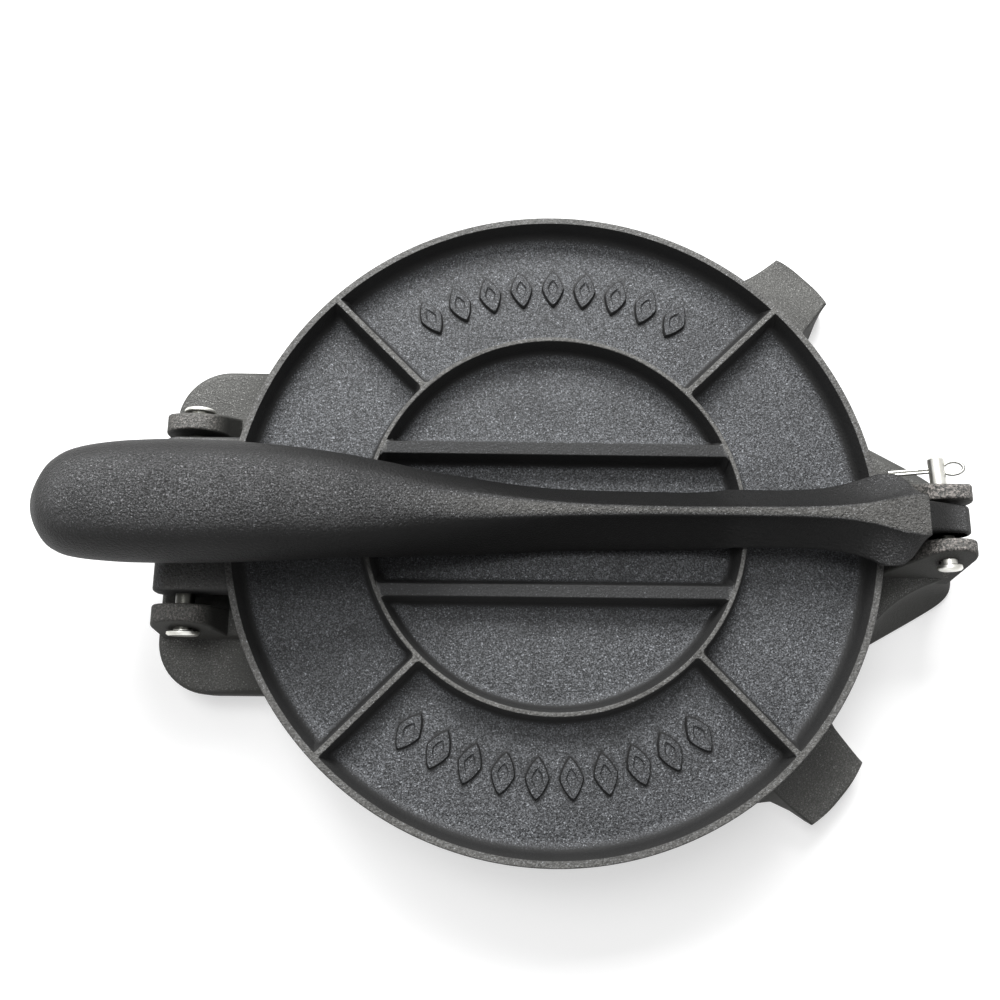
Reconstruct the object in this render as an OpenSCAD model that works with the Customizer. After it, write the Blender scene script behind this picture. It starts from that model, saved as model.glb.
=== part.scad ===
// Cast iron tortilla press: a footed base plate, a ribbed top plate hinged at
// one side, and a pressing lever pinned in a clevis at the other side.
// Millimetres. The plates are centred on [plate_x, 0], the floor is z = 0.
// The hinge is at -X, the clevis at +X, and the lever lies along X.

/* [Plates] */
// Outside diameter of the top plate's rim
plate_d = 207; // [190:1:220]
// Height of the rim's top edge above the floor
rim_z = 35; // [33:0.5:40]
// Depth of the recesses in the top plate
recess = 8; // [6:0.5:9]
// Thickness of the top plate under its recesses
top_t = 4.7; // [3.5:0.1:5]
// Thickness of the base plate
base_t = 7; // [5:0.5:8]
// Gap between the closed plates
press_gap = 0.3; // [0.2:0.1:1]
// Width of the rim's top edge
rim_w = 2.25; // [1.8:0.05:3]
// Radius of the inner ring, to the middle of its top edge
ring_r = 59.9; // [56:0.1:64]
// Width of the inner ring's top edge
ring_w = 1.5; // [1.2:0.1:2.5]
// Distance of the two straight bars from the middle line
bar_y = 22.7; // [21:0.1:26]
// Width of the bars' top faces
bar_w = 4.1; // [3:0.1:6]

/* [Hinge] */
// Distance from the plates' centre to the hinge pins
hinge_reach = 116.3; // [114:0.1:120]
// Depth of the hinge pins below the rim's top edge
hinge_drop = 9.5; // [9:0.1:11]
// Radius of the round ends of the hinge ears
hinge_ear_r = 9.6; // [8:0.1:10]
// Width of the top plate's tongue between the ears
tongue_w = 49.4; // [40:0.1:52]
// Sideways place of the tongue, which sits nearer to the back ear
tongue_y = 0.8; // [0:0.1:1.2]
// Distance between the hinge ears
hinge_gap = 55.2; // [55:0.1:58]
// Thickness of each hinge ear at its top
hinge_ear_t = 5.4; // [4:0.1:7]
// Diameter of the hinge pins
hinge_pin_d = 6; // [5:0.5:7]

/* [Clevis and lever] */
// Distance from the plates' centre to the lever pin
clevis_reach = 123; // [121:0.5:126]
// Depth of the lever pin below the rim's top edge
clevis_drop = 1; // [0:0.25:3]
// Radius of the round ends of the clevis ears
clevis_ear_r = 9; // [7.5:0.1:9]
// Distance between the clevis ears
clevis_gap = 12.2; // [10.5:0.1:13]
// Sideways place of the clevis ears' gap, a little towards the back
clevis_y = 0.2; // [0:0.1:0.6]
// Thickness of each clevis ear at its top
clevis_ear_t = 4.2; // [3.5:0.1:5.5]
// Thickness of the lever's tongue
lever_t = 9; // [7:0.1:9.6]
// Radius of the round end of the lever's tongue
lever_end_r = 7.6; // [7:0.1:8]
// Sideways place of the lever, which sits nearer to the back ear
lever_y = 0.5; // [0:0.1:0.8]
// Diameter of the lever pin
lever_pin_d = 5; // [4:0.5:6]
// Length of the lever pin under its head
lever_pin_l = 34.5; // [32:0.5:36]
// Radius of the lever's round handle
handle_r = 18.3; // [16:0.1:19]
// Distance from the plates' centre to the handle's tip
handle_reach = 158; // [150:1:160]

/* [Feet] */
// Distance from the plates' centre to the tip of the back corner foot
foot_back_reach = 133; // [124:0.5:134]
// Direction of the back corner foot
foot_back_angle = 45.7; // [40:0.1:48]
// Distance from the plates' centre to the tip of the front corner foot
foot_front_reach = 127; // [122:0.5:134]
// Direction of the front corner foot
foot_front_angle = -42.2; // [-48:0.1:-40]
// Half width of the wide foot under the hinge
flange_y = 55.2; // [50:0.1:60]
// Radius of the wide foot's two round corners
flange_corner = 18; // [12:0.5:26]
// Reach of the wide foot under the hinge
flange_reach = 128.5; // [127:0.5:132]
// Top of the wide foot above the floor
flange_z = 14; // [12:0.5:14]

/* [Hidden] */

$fn = 96;
run_fit = 0.05;              // radial play of a pin in what turns on it
plate_r = plate_d / 2;
floor_z = rim_z - recess;    // recess floors of the top plate
top_z = floor_z - top_t;     // underside of the top plate
press_z = top_z - press_gap; // pressing face of the base
base_z = press_z - base_t;   // underside of the base plate
hinge_x = -hinge_reach;
hinge_z = rim_z - hinge_drop;
hinge_side = hinge_gap / 2;
hinge_out = hinge_side + hinge_ear_t;
hinge_lean = tan(11);        // how far a hinge ear's outer face flares for each mm down
clevis_lean = tan(14);       // the same for a clevis ear
pin_seat = hinge_out + (hinge_ear_r + 3) * hinge_lean; // where a hinge pin's head rests
clevis_x = clevis_reach;
clevis_z = rim_z - clevis_drop;
clevis_back = clevis_y + clevis_gap / 2;  // inner face of the back ear
clevis_front = clevis_y - clevis_gap / 2; // inner face of the front ear
lug_tip = clevis_x + 17;     // end of the clevis foot
plate_x = (handle_reach - lug_tip) / 2; // puts the part's middle over the origin
wall_draft = recess * tan(6); // how far a wall's side leans over its height
rib_w = 2;                   // top width of the four short ribs
rib_ends = [[44.4, 44.3], [134.3, 134.6], [-43.3, -44.3], [-134.2, -134.6]]; // at the ring, at the rim
lozenge_l = 6.4;             // half the length of a raised lozenge
lozenge_w = 3.7;             // half its width
lozenge_step = 7.6;          // angle from one lozenge to the next
lozenge_h = 1.3;             // height of the raised lozenges
skirt = 5;                   // depth of the base plate's rim below the plate
hinge_pin_l = 22;            // length of a hinge pin under its head
pin_head_y = clevis_front - 7.2; // inner face of the lever pin's head
pin_head_t = 2.1;            // thickness of the lever pin's head
pin_head_r = 3.7;            // radius of the lever pin's head
cotter_y = pin_head_y + lever_pin_l - 3.8; // split pin's place along the lever pin
cotter_tilt = 25;            // slope of the split pin
cotter_wire = 1.1;           // thickness of the split pin's wire
iron = [0.20, 0.20, 0.21];
zinc = [0.72, 0.73, 0.74];

// a point at angle a on a circle of radius r about c
function polar(c, r, a) = [c[0] + r * cos(a), c[1] + r * sin(a)];
// points of an arc about c from angle a0 to a1 in n steps
function arc(c, r, a0, a1, n = 6) = [for (i = [0 : n]) polar(c, r, a0 + (a1 - a0) * i / n)];
// where a line from p touches a circle about c; side is 1 or -1
function touch(p, c, r, side) =
    let (d = p - c, a = atan2(d[1], d[0]))
    polar(c, r, a + side * acos(r / norm(d)));
module at_plates() translate([plate_x, 0, 0]) children();

// an outline drawn as [x, z], carried along Y from y0 to y1
module side_slab(y0, y1) translate([0, y1, 0]) rotate([90, 0, 0]) linear_extrude(y1 - y0) children();

module rod_y(x, z, y0, y1, r) translate([x, y0, z]) rotate([-90, 0, 0]) cylinder(r = r, h = y1 - y0);

// Top plate

// a low wall's section, w wide on top: a draft of 6 degrees, a round foot and round edges
module wall_section(w, foot, edge) {
    half = w / 2;
    out = half + wall_draft;
    polygon(concat(
        [[-out - foot, -0.5], [-out - foot, 0]],
        arc([-out - foot, foot], foot, -90, -6, 4),
        arc([-half + edge, recess - edge], edge, 180, 90, 2),
        arc([half - edge, recess - edge], edge, 90, 0, 2),
        arc([out + foot, foot], foot, 186, 270, 4),
        [[out + foot, -0.5]]));
}

module ring(r, w) rotate_extrude($fn = 180) translate([r, floor_z]) wall_section(w, 2, 0.5);

module top_disc() rotate_extrude($fn = 180) {
    inner = plate_r - rim_w;
    polygon(concat(
        [[0, top_z]],
        arc([plate_r - 1.2, top_z + 1.2], 1.2, -90, 0, 3),
        arc([plate_r - 0.5, rim_z - 0.5], 0.5, 0, 90, 3),
        arc([inner + 0.5, rim_z - 0.5], 0.5, 90, 180, 2),
        arc([inner - wall_draft - 2.5, floor_z + 2.5], 2.5, -6, -90, 5),
        [[0, floor_z]]));
}

// a plain raised lozenge with a flat top
module lozenge(r, a) rotate([0, 0, a]) translate([r, 0, floor_z - 0.3])
    linear_extrude(lozenge_h + 0.3)
        polygon([[-lozenge_l, 0], [0, -lozenge_w], [lozenge_l, 0], [0, lozenge_w]]);

// a wall on the recess floor from point p to point q
module wall(p, q, w) translate([p[0], p[1], floor_z])
    rotate([0, 0, atan2(q[1] - p[1], q[0] - p[0])]) rotate([90, 0, 90])
        linear_extrude(norm(q - p)) wall_section(w, 1.6, 0.35);

module tongue_outline() {
    top_end = hinge_x - 3.2;
    polygon(concat(
        [[-plate_r + 8, rim_z - 0.6], [top_end, rim_z]],
        arc([top_end, rim_z - 6], 6, 100, 180, 6),
        arc([hinge_x, hinge_z], 9.3, 180, 270, 10),
        [[hinge_x + 4, hinge_z - 8.6], [-plate_r - 3, top_z + 0.8], [-plate_r + 8, top_z]]));
}

module top_plate() color(iron) at_plates() difference() {
    union() {
        top_disc();
        ring(ring_r, ring_w);
        for (a = rib_ends)
            wall(polar([0, 0], ring_r, a[0]), polar([0, 0], plate_r - 1.8, a[1]), rib_w);
        for (side = [-1, 1]) {
            half = sqrt(pow(ring_r, 2) - pow(bar_y, 2));
            wall([-half, side * bar_y], [half, side * bar_y], bar_w);
        }
        for (i = [-4 : 4]) lozenge(81, 90 + lozenge_step * i);
        for (i = [-4.5 : 4.5]) lozenge(79, -90 + lozenge_step * i);
        difference() {
            side_slab(tongue_y - tongue_w / 2, tongue_y + tongue_w / 2) tongue_outline();
            cylinder(r = plate_r - rim_w - 0.5, h = 2 * rim_z);
        }
    }
    rod_y(hinge_x, hinge_z, -tongue_w, tongue_w, hinge_pin_d / 2 + run_fit);
}

// Base casting

// the side of a corner foot as [distance from the centre, height]: the top falls ever
// less steeply from its root to a blunt tip
module foot_side(reach) {
    root = plate_r - 2.5;
    top = press_z - 1;
    drop = 11.5;
    polygon(concat(
        [[plate_r - 14, base_z + 1], [plate_r - 14, top], [root, top]],
        [for (i = [1 : 7]) let (u = i / 8) [root + (reach - root) * u, top - drop * (1 - pow(1 - u, 1.7))]],
        [[reach - 1.2, top - drop], [reach, top - drop - 1.2], [reach, 0.8], [reach - 0.8, 0],
         [reach - 14, 0], [plate_r + 3, base_z - 5], [plate_r - 2, base_z]]));
}

// the plan of a corner foot: hollow sides that narrow to a blunt tip with round corners
module foot_plan(reach) {
    root = plate_r - 14;
    tip = 13;
    r = 2.5;
    half = [[root, 20], [plate_r + 1, 18.5], [plate_r + 6, 16.6], [plate_r + 11, 14.9], [plate_r + 17, 14]];
    polygon(concat(
        [for (q = half) [q[0], -q[1]]],
        arc([reach - r - 1.2, -tip + r], r, -75, -8, 3),
        [[reach, 0]],
        arc([reach - r - 1.2, tip - r], r, 8, 75, 3),
        [for (i = [len(half) - 1 : -1 : 0]) half[i]]));
}

module corner_foot(a, reach) rotate([0, 0, a]) intersection() {
    side_slab(-22, 22) foot_side(reach);
    linear_extrude(rim_z) foot_plan(reach);
}

module flange_plan(inset) {
    r = flange_corner - inset;
    x = -flange_reach + inset;
    y = flange_y - inset;
    polygon(concat(
        [[-70, -y]], [[-70, y]],
        arc([x + r, y - r], r, 90, 180, 10),
        arc([x + r, -y + r], r, 180, 270, 10)));
}

// the wide foot under the hinge: a shallow box, open below
module flange() difference() {
    wall = 6;
    union() {
        linear_extrude(flange_z - 3) flange_plan(0);
        linear_extrude(flange_z - 0.8) flange_plan(0.9);
        linear_extrude(flange_z) flange_plan(2.4);
    }
    translate([0, 0, -1]) linear_extrude(flange_z - wall + 1) flange_plan(wall);
    translate([0, 0, -1]) cylinder(r = plate_r - 8, h = rim_z);
}

// what bounds an ear seen from the end: its inner face is upright, and its outer face flares
// on the way down; side is 1 or -1
module ear_section(x0, x1, inner, side, thick, top, lean)
    translate([x0, 0, 0]) rotate([90, 0, 90]) linear_extrude(x1 - x0)
        polygon([[inner, 0], [inner, top], [inner + side * thick, top],
                 [inner + side * (thick + top * lean), 0]]);

module hinge_ear(side) intersection() {
    side_slab(-flange_y, flange_y) {
        translate([hinge_x, hinge_z]) circle(hinge_ear_r);
        polygon([[hinge_x - hinge_ear_r, hinge_z], [hinge_x - hinge_ear_r, flange_z - 1],
                 [-plate_r + 6, flange_z - 1], [-plate_r + 6, press_z - 4],
                 [hinge_x + hinge_ear_r + 2, press_z - 4], [hinge_x + hinge_ear_r, hinge_z]]);
    }
    ear_section(-flange_reach, -plate_r + 8, side * hinge_side, side, hinge_ear_t,
                hinge_z + hinge_ear_r, hinge_lean);
}

// outline of the clevis foot: open_out is 1 on the floor and 0 at its top, drawn in by inset
module lug_plan(open_out, inset = 0) {
    on_floor = [[plate_r - 10, 45], [plate_r + 10, 34.1], [clevis_x + 8, 24.5],
                [lug_tip - 3, 20.5], [lug_tip - 0.2, 16.5], [lug_tip, 11]];
    at_top = [[plate_r - 10, 36], [plate_r, 31.5], [plate_r + 7, 24.5], [plate_r + 17, 18.5],
              [clevis_x + 7, 15.2], [clevis_x + 10, 11]];
    half = [for (i = [0 : len(on_floor) - 1])
        let (q = at_top[i] + open_out * (on_floor[i] - at_top[i])) [q[0] - inset, q[1] - inset]];
    polygon(concat([for (q = half) [q[0], -q[1]]], [for (i = [len(half) - 1 : -1 : 0]) half[i]]));
}

// the flare of the clevis foot from the floor to a height, steeper at its top
module lug_block(height, inset) {
    hull() {
        linear_extrude(1.5) lug_plan(1, inset);
        linear_extrude(height / 2) lug_plan(0.35, inset);
    }
    hull() {
        linear_extrude(height / 2) lug_plan(0.35, inset);
        linear_extrude(height) lug_plan(0, inset);
    }
}

// the flared foot that carries the clevis, open below
module lug() difference() {
    lug_block(press_z - 1.5, 0);
    translate([-2, 0, -1]) lug_block(press_z - 6.5, 6.5);
    translate([0, 0, -1]) cylinder(r = plate_r - 8, h = rim_z);
}

module clevis_ear(inner, side) intersection() {
    side_slab(-20, 20) {
        translate([clevis_x, clevis_z]) circle(clevis_ear_r);
        polygon([[clevis_x - clevis_ear_r, clevis_z], [plate_r + 2.5, press_z + 1],
                 [plate_r - 3, press_z - 1.5], [plate_r - 3, base_z],
                 [clevis_x + clevis_ear_r, base_z], [clevis_x + clevis_ear_r, clevis_z]]);
    }
    ear_section(plate_r - 4, clevis_x + clevis_ear_r + 1, inner, side, clevis_ear_t,
                clevis_z + clevis_ear_r, clevis_lean);
}

module base_disc() rotate_extrude($fn = 180) {
    polygon(concat(
        [[0, base_z], [plate_r - 7, base_z], [plate_r - 6, base_z - skirt], [plate_r - 2, base_z - skirt]],
        arc([plate_r - 0.8, press_z - 0.8], 0.8, 0, 90, 3),
        [[0, press_z]]));
}

module base_casting() color(iron) at_plates() difference() {
    union() {
        base_disc();
        corner_foot(foot_back_angle, foot_back_reach);
        corner_foot(foot_front_angle, foot_front_reach);
        flange();
        lug();
        hinge_ear(1);
        hinge_ear(-1);
        clevis_ear(clevis_back, 1);
        clevis_ear(clevis_front, -1);
        for (a = [foot_back_angle, foot_front_angle, 135, 225]) rotate([0, 0, a])
            translate([20, -2.5, base_z - 3]) cube([plate_r - 26, 5, 4]);
    }
    rod_y(hinge_x, hinge_z, hinge_side - 1, pin_seat + 2, hinge_pin_d / 2);
    rod_y(hinge_x, hinge_z, -pin_seat - 2, -hinge_side + 1, hinge_pin_d / 2);
    rod_y(clevis_x, clevis_z, pin_head_y, clevis_back + 9, lever_pin_d / 2);
}

// Lever

// each row: x from the plates' centre, then heights above the rim's top edge of
// the underside, the widest line and the crest, then the half widths of the
// widest line and of the crest, then how round the upper half is
lever_rows = [
    [-handle_reach, 7.3, 8.8, 10.3, 0.8, 0.4, 1],
    [-157, 3.8, 8.8, 13.8, 5, 2, 1],
    [-154, 0.2, 9.6, 19, 10, 4, 1],
    [-150, -1.3, 11.2, 24, handle_r - 4.5, 5, 1],
    [-144, -1.5, 13.2, 28.4, handle_r - 2.1, 5, 1],
    [-136, -0.6, 15, 31.3, handle_r - 0.9, 5, 1],
    [-126, 0.7, 16.3, 33.2, handle_r - 0.2, 5, 1],
    [-114, 0.8, 17.4, 34.4, handle_r, 5, 1],
    [-100, 0.8, 17.6, 34.4, handle_r - 0.3, 5, 1],
    [-88, 0.8, 17.2, 33.4, handle_r - 0.9, 5, 1],
    [-76, 0.8, 16, 31.3, handle_r - 1.7, 4.6, 1],
    [-64, 0.8, 13.5, 28.4, handle_r - 2.7, 4.4, 1],
    [-57, 0.8, 11, 26.3, handle_r - 3.3, 4.2, 0.95],
    [-50, -2.4, 8, 24, 14.5, 4.1, 0.9],
    [-42, -6.4, 4.5, 21.5, 13.6, 4, 0.8],
    [-34, -7.5, 2, 19.1, 12.9, 4, 0.68],
    [-24, -7.6, -1, 16.9, 12.2, 3.6, 0.52],
    [-12, -7.6, -3.4, 14.8, 11.2, 2.8, 0.34],
    [0, -7.6, -4.3, 13.5, 10.3, 2.1, 0.18],
    [15, -7.6, -4.5, 12.8, 9.9, 1.6, 0.08],
    [40, -7.5, -4.2, 12.8, 9.6, 1.4, 0],
    [48, -6, -3, 13, 9.5, 1.4, 0],
    [56, 0.8, 1.4, 13.3, 9.4, 1.4, 0],
    [70, 0.8, 1.6, 13.4, 9.3, 1.5, 0],
    [82, 1.2, 2.2, 13.5, 9.8, 1.9, 0],
    [90, 2.6, 3.6, 13.5, 11, 2.5, 0],
    [96, 4.4, 5.4, 13.4, 12.6, 3.3, 0],
    [101, 5.2, 6.2, 13.2, 13.9, 4.3, 0],
    [105, 5.4, 6.4, 13, 13.9, 5.3, 0],
    [108.5, 5.4, 6.4, 12.6, 12.2, 5.9, 0],
    [111, 5.2, 6.2, 12.2, 9.6, 6.4, 0],
    [113, 4.8, 6, 11.8, 7.4, 6.2, 0]];

// the hood's front flank bulges a little more than its back one
function front_bulge(x) = 1.5 * exp(-pow((x - 102) / 7, 2));

// one half of a lever section, from the underside's middle up to the crest
function half_section(s) =
    let (wide = s[4], crest = s[5], upper = 7)
    concat(
        [[wide * 0.45, s[1]], [wide * 0.8, s[1] + (s[2] - s[1]) * 0.22],
         [wide * 0.96, s[1] + (s[2] - s[1]) * 0.6]],
        [for (i = [0 : upper])
            let (u = i / upper,
                 round_y = wide * sqrt(1 - pow(u * 0.98, 2)),
                 flat_y = crest + (wide - crest) * pow(1 - u, 1.35))
            [s[6] * round_y + (1 - s[6]) * flat_y, s[2] + (s[3] - s[2]) * u]]);

function lever_section(s) =
    let (right = half_section(s), n = len(right))
    [for (i = [0 : 2 * n - 1])
        let (q = i < n ? right[i] : right[2 * n - 1 - i],
             side = i < n ? -1 - front_bulge(s[0]) / s[4] : 1)
        [s[0], side * q[0], rim_z + q[1]]];

module lever_body() {
    rings = [for (s = lever_rows) lever_section(s)];
    n = len(rings[0]);
    last = len(rings) - 1;
    polyhedron(
        points = [for (ring = rings) for (p = ring) p],
        faces = concat(
            [[for (i = [n - 1 : -1 : 0]) i], [for (i = [0 : n - 1]) last * n + i]],
            [for (k = [0 : last - 1]) for (i = [0 : n - 1])
                let (a = k * n + i, b = k * n + (i + 1) % n) [a, b, b + n]],
            [for (k = [0 : last - 1]) for (i = [0 : n - 1])
                let (a = k * n + i, b = k * n + (i + 1) % n) [a, b + n, a + n]]));
}

// the tongue that turns between the clevis ears, and its neck under the hood
module lever_tongue() side_slab(-lever_t / 2, lever_t / 2) {
    pin = [clevis_x, clevis_z];
    upper = [111, rim_z + 12];
    lower = [111, rim_z + 5.2];
    translate(pin) circle(lever_end_r);
    polygon([pin, touch(upper, pin, lever_end_r, -1), upper, [95, rim_z + 12],
             [95, rim_z + 5.4], lower, touch(lower, pin, lever_end_r, 1)]);
}

module lever() color(iron) at_plates() translate([0, lever_y, 0]) difference() {
    union() {
        lever_body();
        lever_tongue();
    }
    rod_y(clevis_x, clevis_z, -lever_t, lever_t, lever_pin_d / 2 + run_fit);
}

// Pins

// a headed pin on the hinge line: its head lies outside the ear
module hinge_pin(side) color(zinc) at_plates() translate([hinge_x, 0, hinge_z])
    rotate([-90 * side, 0, 0]) translate([0, 0, pin_seat]) {
        translate([0, 0, -hinge_pin_l]) cylinder(d = hinge_pin_d, h = hinge_pin_l);
        cylinder(d = 10, h = 1.1);
        translate([0, 0, 1.1]) cylinder(d1 = 9.4, d2 = 6, h = 0.9);
    }

module cotter_place() translate([clevis_x, cotter_y, clevis_z]) rotate([0, -cotter_tilt, 0]) children();

module lever_pin() color(zinc) at_plates() difference() {
    union() {
        rod_y(clevis_x, clevis_z, pin_head_y - 0.1, pin_head_y + lever_pin_l - 0.5, lever_pin_d / 2);
        rod_y(clevis_x, clevis_z, pin_head_y + lever_pin_l - 0.6, pin_head_y + lever_pin_l,
              lever_pin_d / 2 - 0.4);
        rod_y(clevis_x, clevis_z, pin_head_y - 0.6 * pin_head_t, pin_head_y, pin_head_r);
        rod_y(clevis_x, clevis_z, pin_head_y - pin_head_t, pin_head_y - 0.5 * pin_head_t, pin_head_r - 0.8);
    }
    cotter_place() rotate([0, 90, 0]) cylinder(r = cotter_wire + 0.1, h = 3 * lever_pin_d, center = true);
}

// a split pin: two legs side by side that run through the lever pin, and an eye
module cotter_pin() color(zinc) at_plates() cotter_place() {
    leg = 14.6;   // how far the legs reach behind the lever pin
    neck = 2.6;   // where the eye starts before it
    eye_r = 2;
    for (side = [0, 1])
        translate([side - leg, (side - 0.5) * 0.9 * cotter_wire, 0]) rotate([0, 90, 0])
            cylinder(d = cotter_wire, h = leg + neck + 0.8 - side, $fn = 24);
    translate([neck, 0, 0]) rotate([0, 90, 0]) cylinder(d = 2 * cotter_wire, h = 1.4, $fn = 24);
    translate([neck + 0.8 + eye_r, 0, 0]) rotate_extrude($fn = 48)
        translate([eye_r, 0]) circle(d = cotter_wire, $fn = 24);
}

base_casting();
top_plate();
lever();
hinge_pin(1);  // hinge_pin_back
hinge_pin(-1);  // hinge_pin_front
lever_pin();
cotter_pin();
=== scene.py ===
# %% [markdown]
# # A cast iron tortilla press
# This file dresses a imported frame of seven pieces: the base casting, the top
# plate, the lever and four zinc pins. The frame gives the sizes, the joints and
# the bodies, and each piece made here rides on its body. Shapes are worked out
# in millimetres about the middle of the two plates, because that is how a
# pattern maker would draw them, and are turned into metres when a mesh is made.

# %% Load the frame
import math

import bpy
import bmesh
import numpy as np
from mathutils import Matrix, Vector


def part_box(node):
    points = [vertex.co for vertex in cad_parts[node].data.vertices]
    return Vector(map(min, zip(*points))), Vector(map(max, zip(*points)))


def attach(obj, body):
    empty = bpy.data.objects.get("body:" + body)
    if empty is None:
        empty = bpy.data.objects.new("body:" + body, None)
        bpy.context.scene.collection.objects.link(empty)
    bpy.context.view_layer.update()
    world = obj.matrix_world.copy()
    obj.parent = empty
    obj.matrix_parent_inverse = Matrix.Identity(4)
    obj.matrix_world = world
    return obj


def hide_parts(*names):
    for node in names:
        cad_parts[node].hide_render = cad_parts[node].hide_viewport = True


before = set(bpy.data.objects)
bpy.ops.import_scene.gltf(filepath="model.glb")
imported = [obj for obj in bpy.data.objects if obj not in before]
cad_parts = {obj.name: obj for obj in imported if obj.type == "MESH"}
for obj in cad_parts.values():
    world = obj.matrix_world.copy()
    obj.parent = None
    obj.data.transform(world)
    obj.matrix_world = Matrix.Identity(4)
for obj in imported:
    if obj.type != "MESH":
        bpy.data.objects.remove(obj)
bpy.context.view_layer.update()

# %% [markdown]
# The driving sizes come from the frame's boxes where a box tells them. The
# plates are round, so the top plate's width is its diameter, and its right-hand
# edge gives the plates' centre. The other sizes are the few that a box can't
# tell, such as the depth of the recesses.

# %% Driving sizes, in millimetres
MM = 0.001
top_low, top_high = (np.array(corner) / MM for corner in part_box("top_plate"))

plate_r = round((top_high[1] - top_low[1]) / 2, 1)
plate_x = round(top_high[0] - plate_r, 1)
rim_z = round(top_high[2], 1)
recess = 8.0
floor_z = rim_z - recess
top_z = floor_z - 4.7
press_z = top_z - 0.3
base_z = press_z - 7.0
hinge = (-116.3, rim_z - 9.5)
clevis = (123.0, rim_z - 1.0)
print(f"plate radius {plate_r}, centre at x {plate_x}, rim top {rim_z}")

# %% [markdown]
# The camera stands almost over the press, a little in front of it, and turned
# so that the lever lies nearly level in the picture. A camera's place, the
# point that it looks at, its roll and its lens are all that a view needs.

# %% The camera
EYE = Vector((-12.17, -56.25, 318.57)) * MM
LOOK_AT = Vector((-8.38, 5.77, 35.0)) * MM
ROLL = math.radians(4.13)
LENS = 33.23

camera_data = bpy.data.cameras.new("camera")
camera_data.lens = LENS
camera_data.sensor_width = 36.0
camera_data.clip_start = 0.01
camera = bpy.data.objects.new("camera", camera_data)
bpy.context.scene.collection.objects.link(camera)
level_view = (LOOK_AT - EYE).to_track_quat("-Z", "Y")
camera.matrix_world = (Matrix.Translation(EYE) @ level_view.to_matrix().to_4x4()
                       @ Matrix.Rotation(ROLL, 4, "Z"))
bpy.context.scene.camera = camera
print("camera", [round(v / MM, 1) for v in EYE])

# %% [markdown]
# Every casting here is a set of closed skins that are fused into one. A skin is
# a grid of points: rings laid one after another, each ring closed on itself.
# Such a grid could be spun, lofted or swept with Blender's own tools, but as an
# array it is worked out in one step, and its formula can be read.

# %% Arcs and skins
def arc(centre, radius, start, end, steps):
    """Points of a circle's arc: centre + radius * (cos a, sin a), a from start to end in degrees."""
    a = np.radians(np.linspace(start, end, steps + 1))
    return np.c_[centre[0] + radius * np.cos(a), centre[1] + radius * np.sin(a)]


def skin(name, rings):
    """A closed mesh from rings (k, n, 3) in millimetres about the plates' centre: quads between
    neighbouring rings, and a flat face over the first and the last ring."""
    k, n = rings.shape[:2]
    points = (rings.reshape(-1, 3) + [plate_x, 0, 0]) * MM
    here = np.arange(n)
    after = (here + 1) % n
    start = (np.arange(k - 1) * n)[:, None]
    quads = np.stack([start + here, start + after, start + n + after, start + n + here], axis=-1)
    faces = quads.reshape(-1, 4).tolist()
    faces += [here[::-1].tolist(), ((k - 1) * n + here).tolist()]
    mesh = bpy.data.meshes.new(name)
    mesh.from_pydata(points.tolist(), [], faces)
    build = bmesh.new()
    build.from_mesh(mesh)
    bmesh.ops.remove_doubles(build, verts=build.verts, dist=1e-6)
    bmesh.ops.recalc_face_normals(build, faces=build.faces)
    build.to_mesh(mesh)
    build.free()
    piece = bpy.data.objects.new(name, mesh)
    bpy.context.scene.collection.objects.link(piece)
    return piece


# %% Turned skins and slabs
def spin(name, profile, turns=256, axis_at=None, along="z"):
    """A profile of (radius, height) turned about an axis: x = r cos a, y = r sin a, z = height.
    Along "y" the axis lies along Y through axis_at, an (x, z) place."""
    a = np.linspace(0, 2 * np.pi, turns, endpoint=False)
    r, h = np.asarray(profile, float).T
    across, up = np.outer(r, np.cos(a)), np.outer(r, np.sin(a))
    level = np.repeat(h[:, None], turns, axis=1)
    if along == "y":
        return skin(name, np.stack([across + axis_at[0], level, up + axis_at[1]], axis=-1))
    return skin(name, np.stack([across, up, level], axis=-1))


def inset(outline, amount):
    """The outline with each point moved inwards by amount, along the mean of its two sides' normals."""
    before = outline - np.roll(outline, 1, axis=0)
    after = np.roll(outline, -1, axis=0) - outline
    side = before / np.linalg.norm(before, axis=1)[:, None] + after / np.linalg.norm(after, axis=1)[:, None]
    side /= np.maximum(np.linalg.norm(side, axis=1)[:, None], 1e-9)
    turning = np.sign(np.sum(np.roll(outline, 1, axis=0)[:, 0] * outline[:, 1]
                             - outline[:, 0] * np.roll(outline, 1, axis=0)[:, 1]))
    return outline + amount * turning * np.c_[-side[:, 1], side[:, 0]]


def slab(name, outline, y0, y1, edge=1.0, steps=4, lean=(0, 0)):
    """An (x, z) outline carried along Y from y0 to y1, with both rims rounded by a quarter circle of
    radius edge: at the angle a the outline is drawn in by edge (1 - sin a). Each face moves out by
    its lean for every millimetre below the outline's top."""
    a = np.radians(np.linspace(0, 90, steps + 1))
    y = np.r_[y0 + edge * (1 - np.cos(a)), y1 - edge * (1 - np.cos(a))[::-1]]
    drawn_in = np.r_[edge * (1 - np.sin(a)), edge * (1 - np.sin(a))[::-1]]
    lean = np.repeat([-lean[0], lean[1]], steps + 1)
    plans = np.array([inset(outline, d) for d in drawn_in])
    across = y[:, None] + lean[:, None] * (outline[:, 1].max() - plans[..., 1])
    return skin(name, np.stack([plans[..., 0], across, plans[..., 1]], axis=-1))


def rod(name, at, y0, y1, radius, sides=64):
    """A plain rod along Y, used to cut a bore."""
    return spin(name, [(0, y0), (radius, y0), (radius, y1), (0, y1)], sides, at, "y")

# %% [markdown]
# Fusing is Blender's Boolean modifier. Its Manifold solver is quick and always
# gives a closed mesh from closed meshes, so each casting ends as one skin with
# no faces inside, as a real casting has none.

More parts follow.
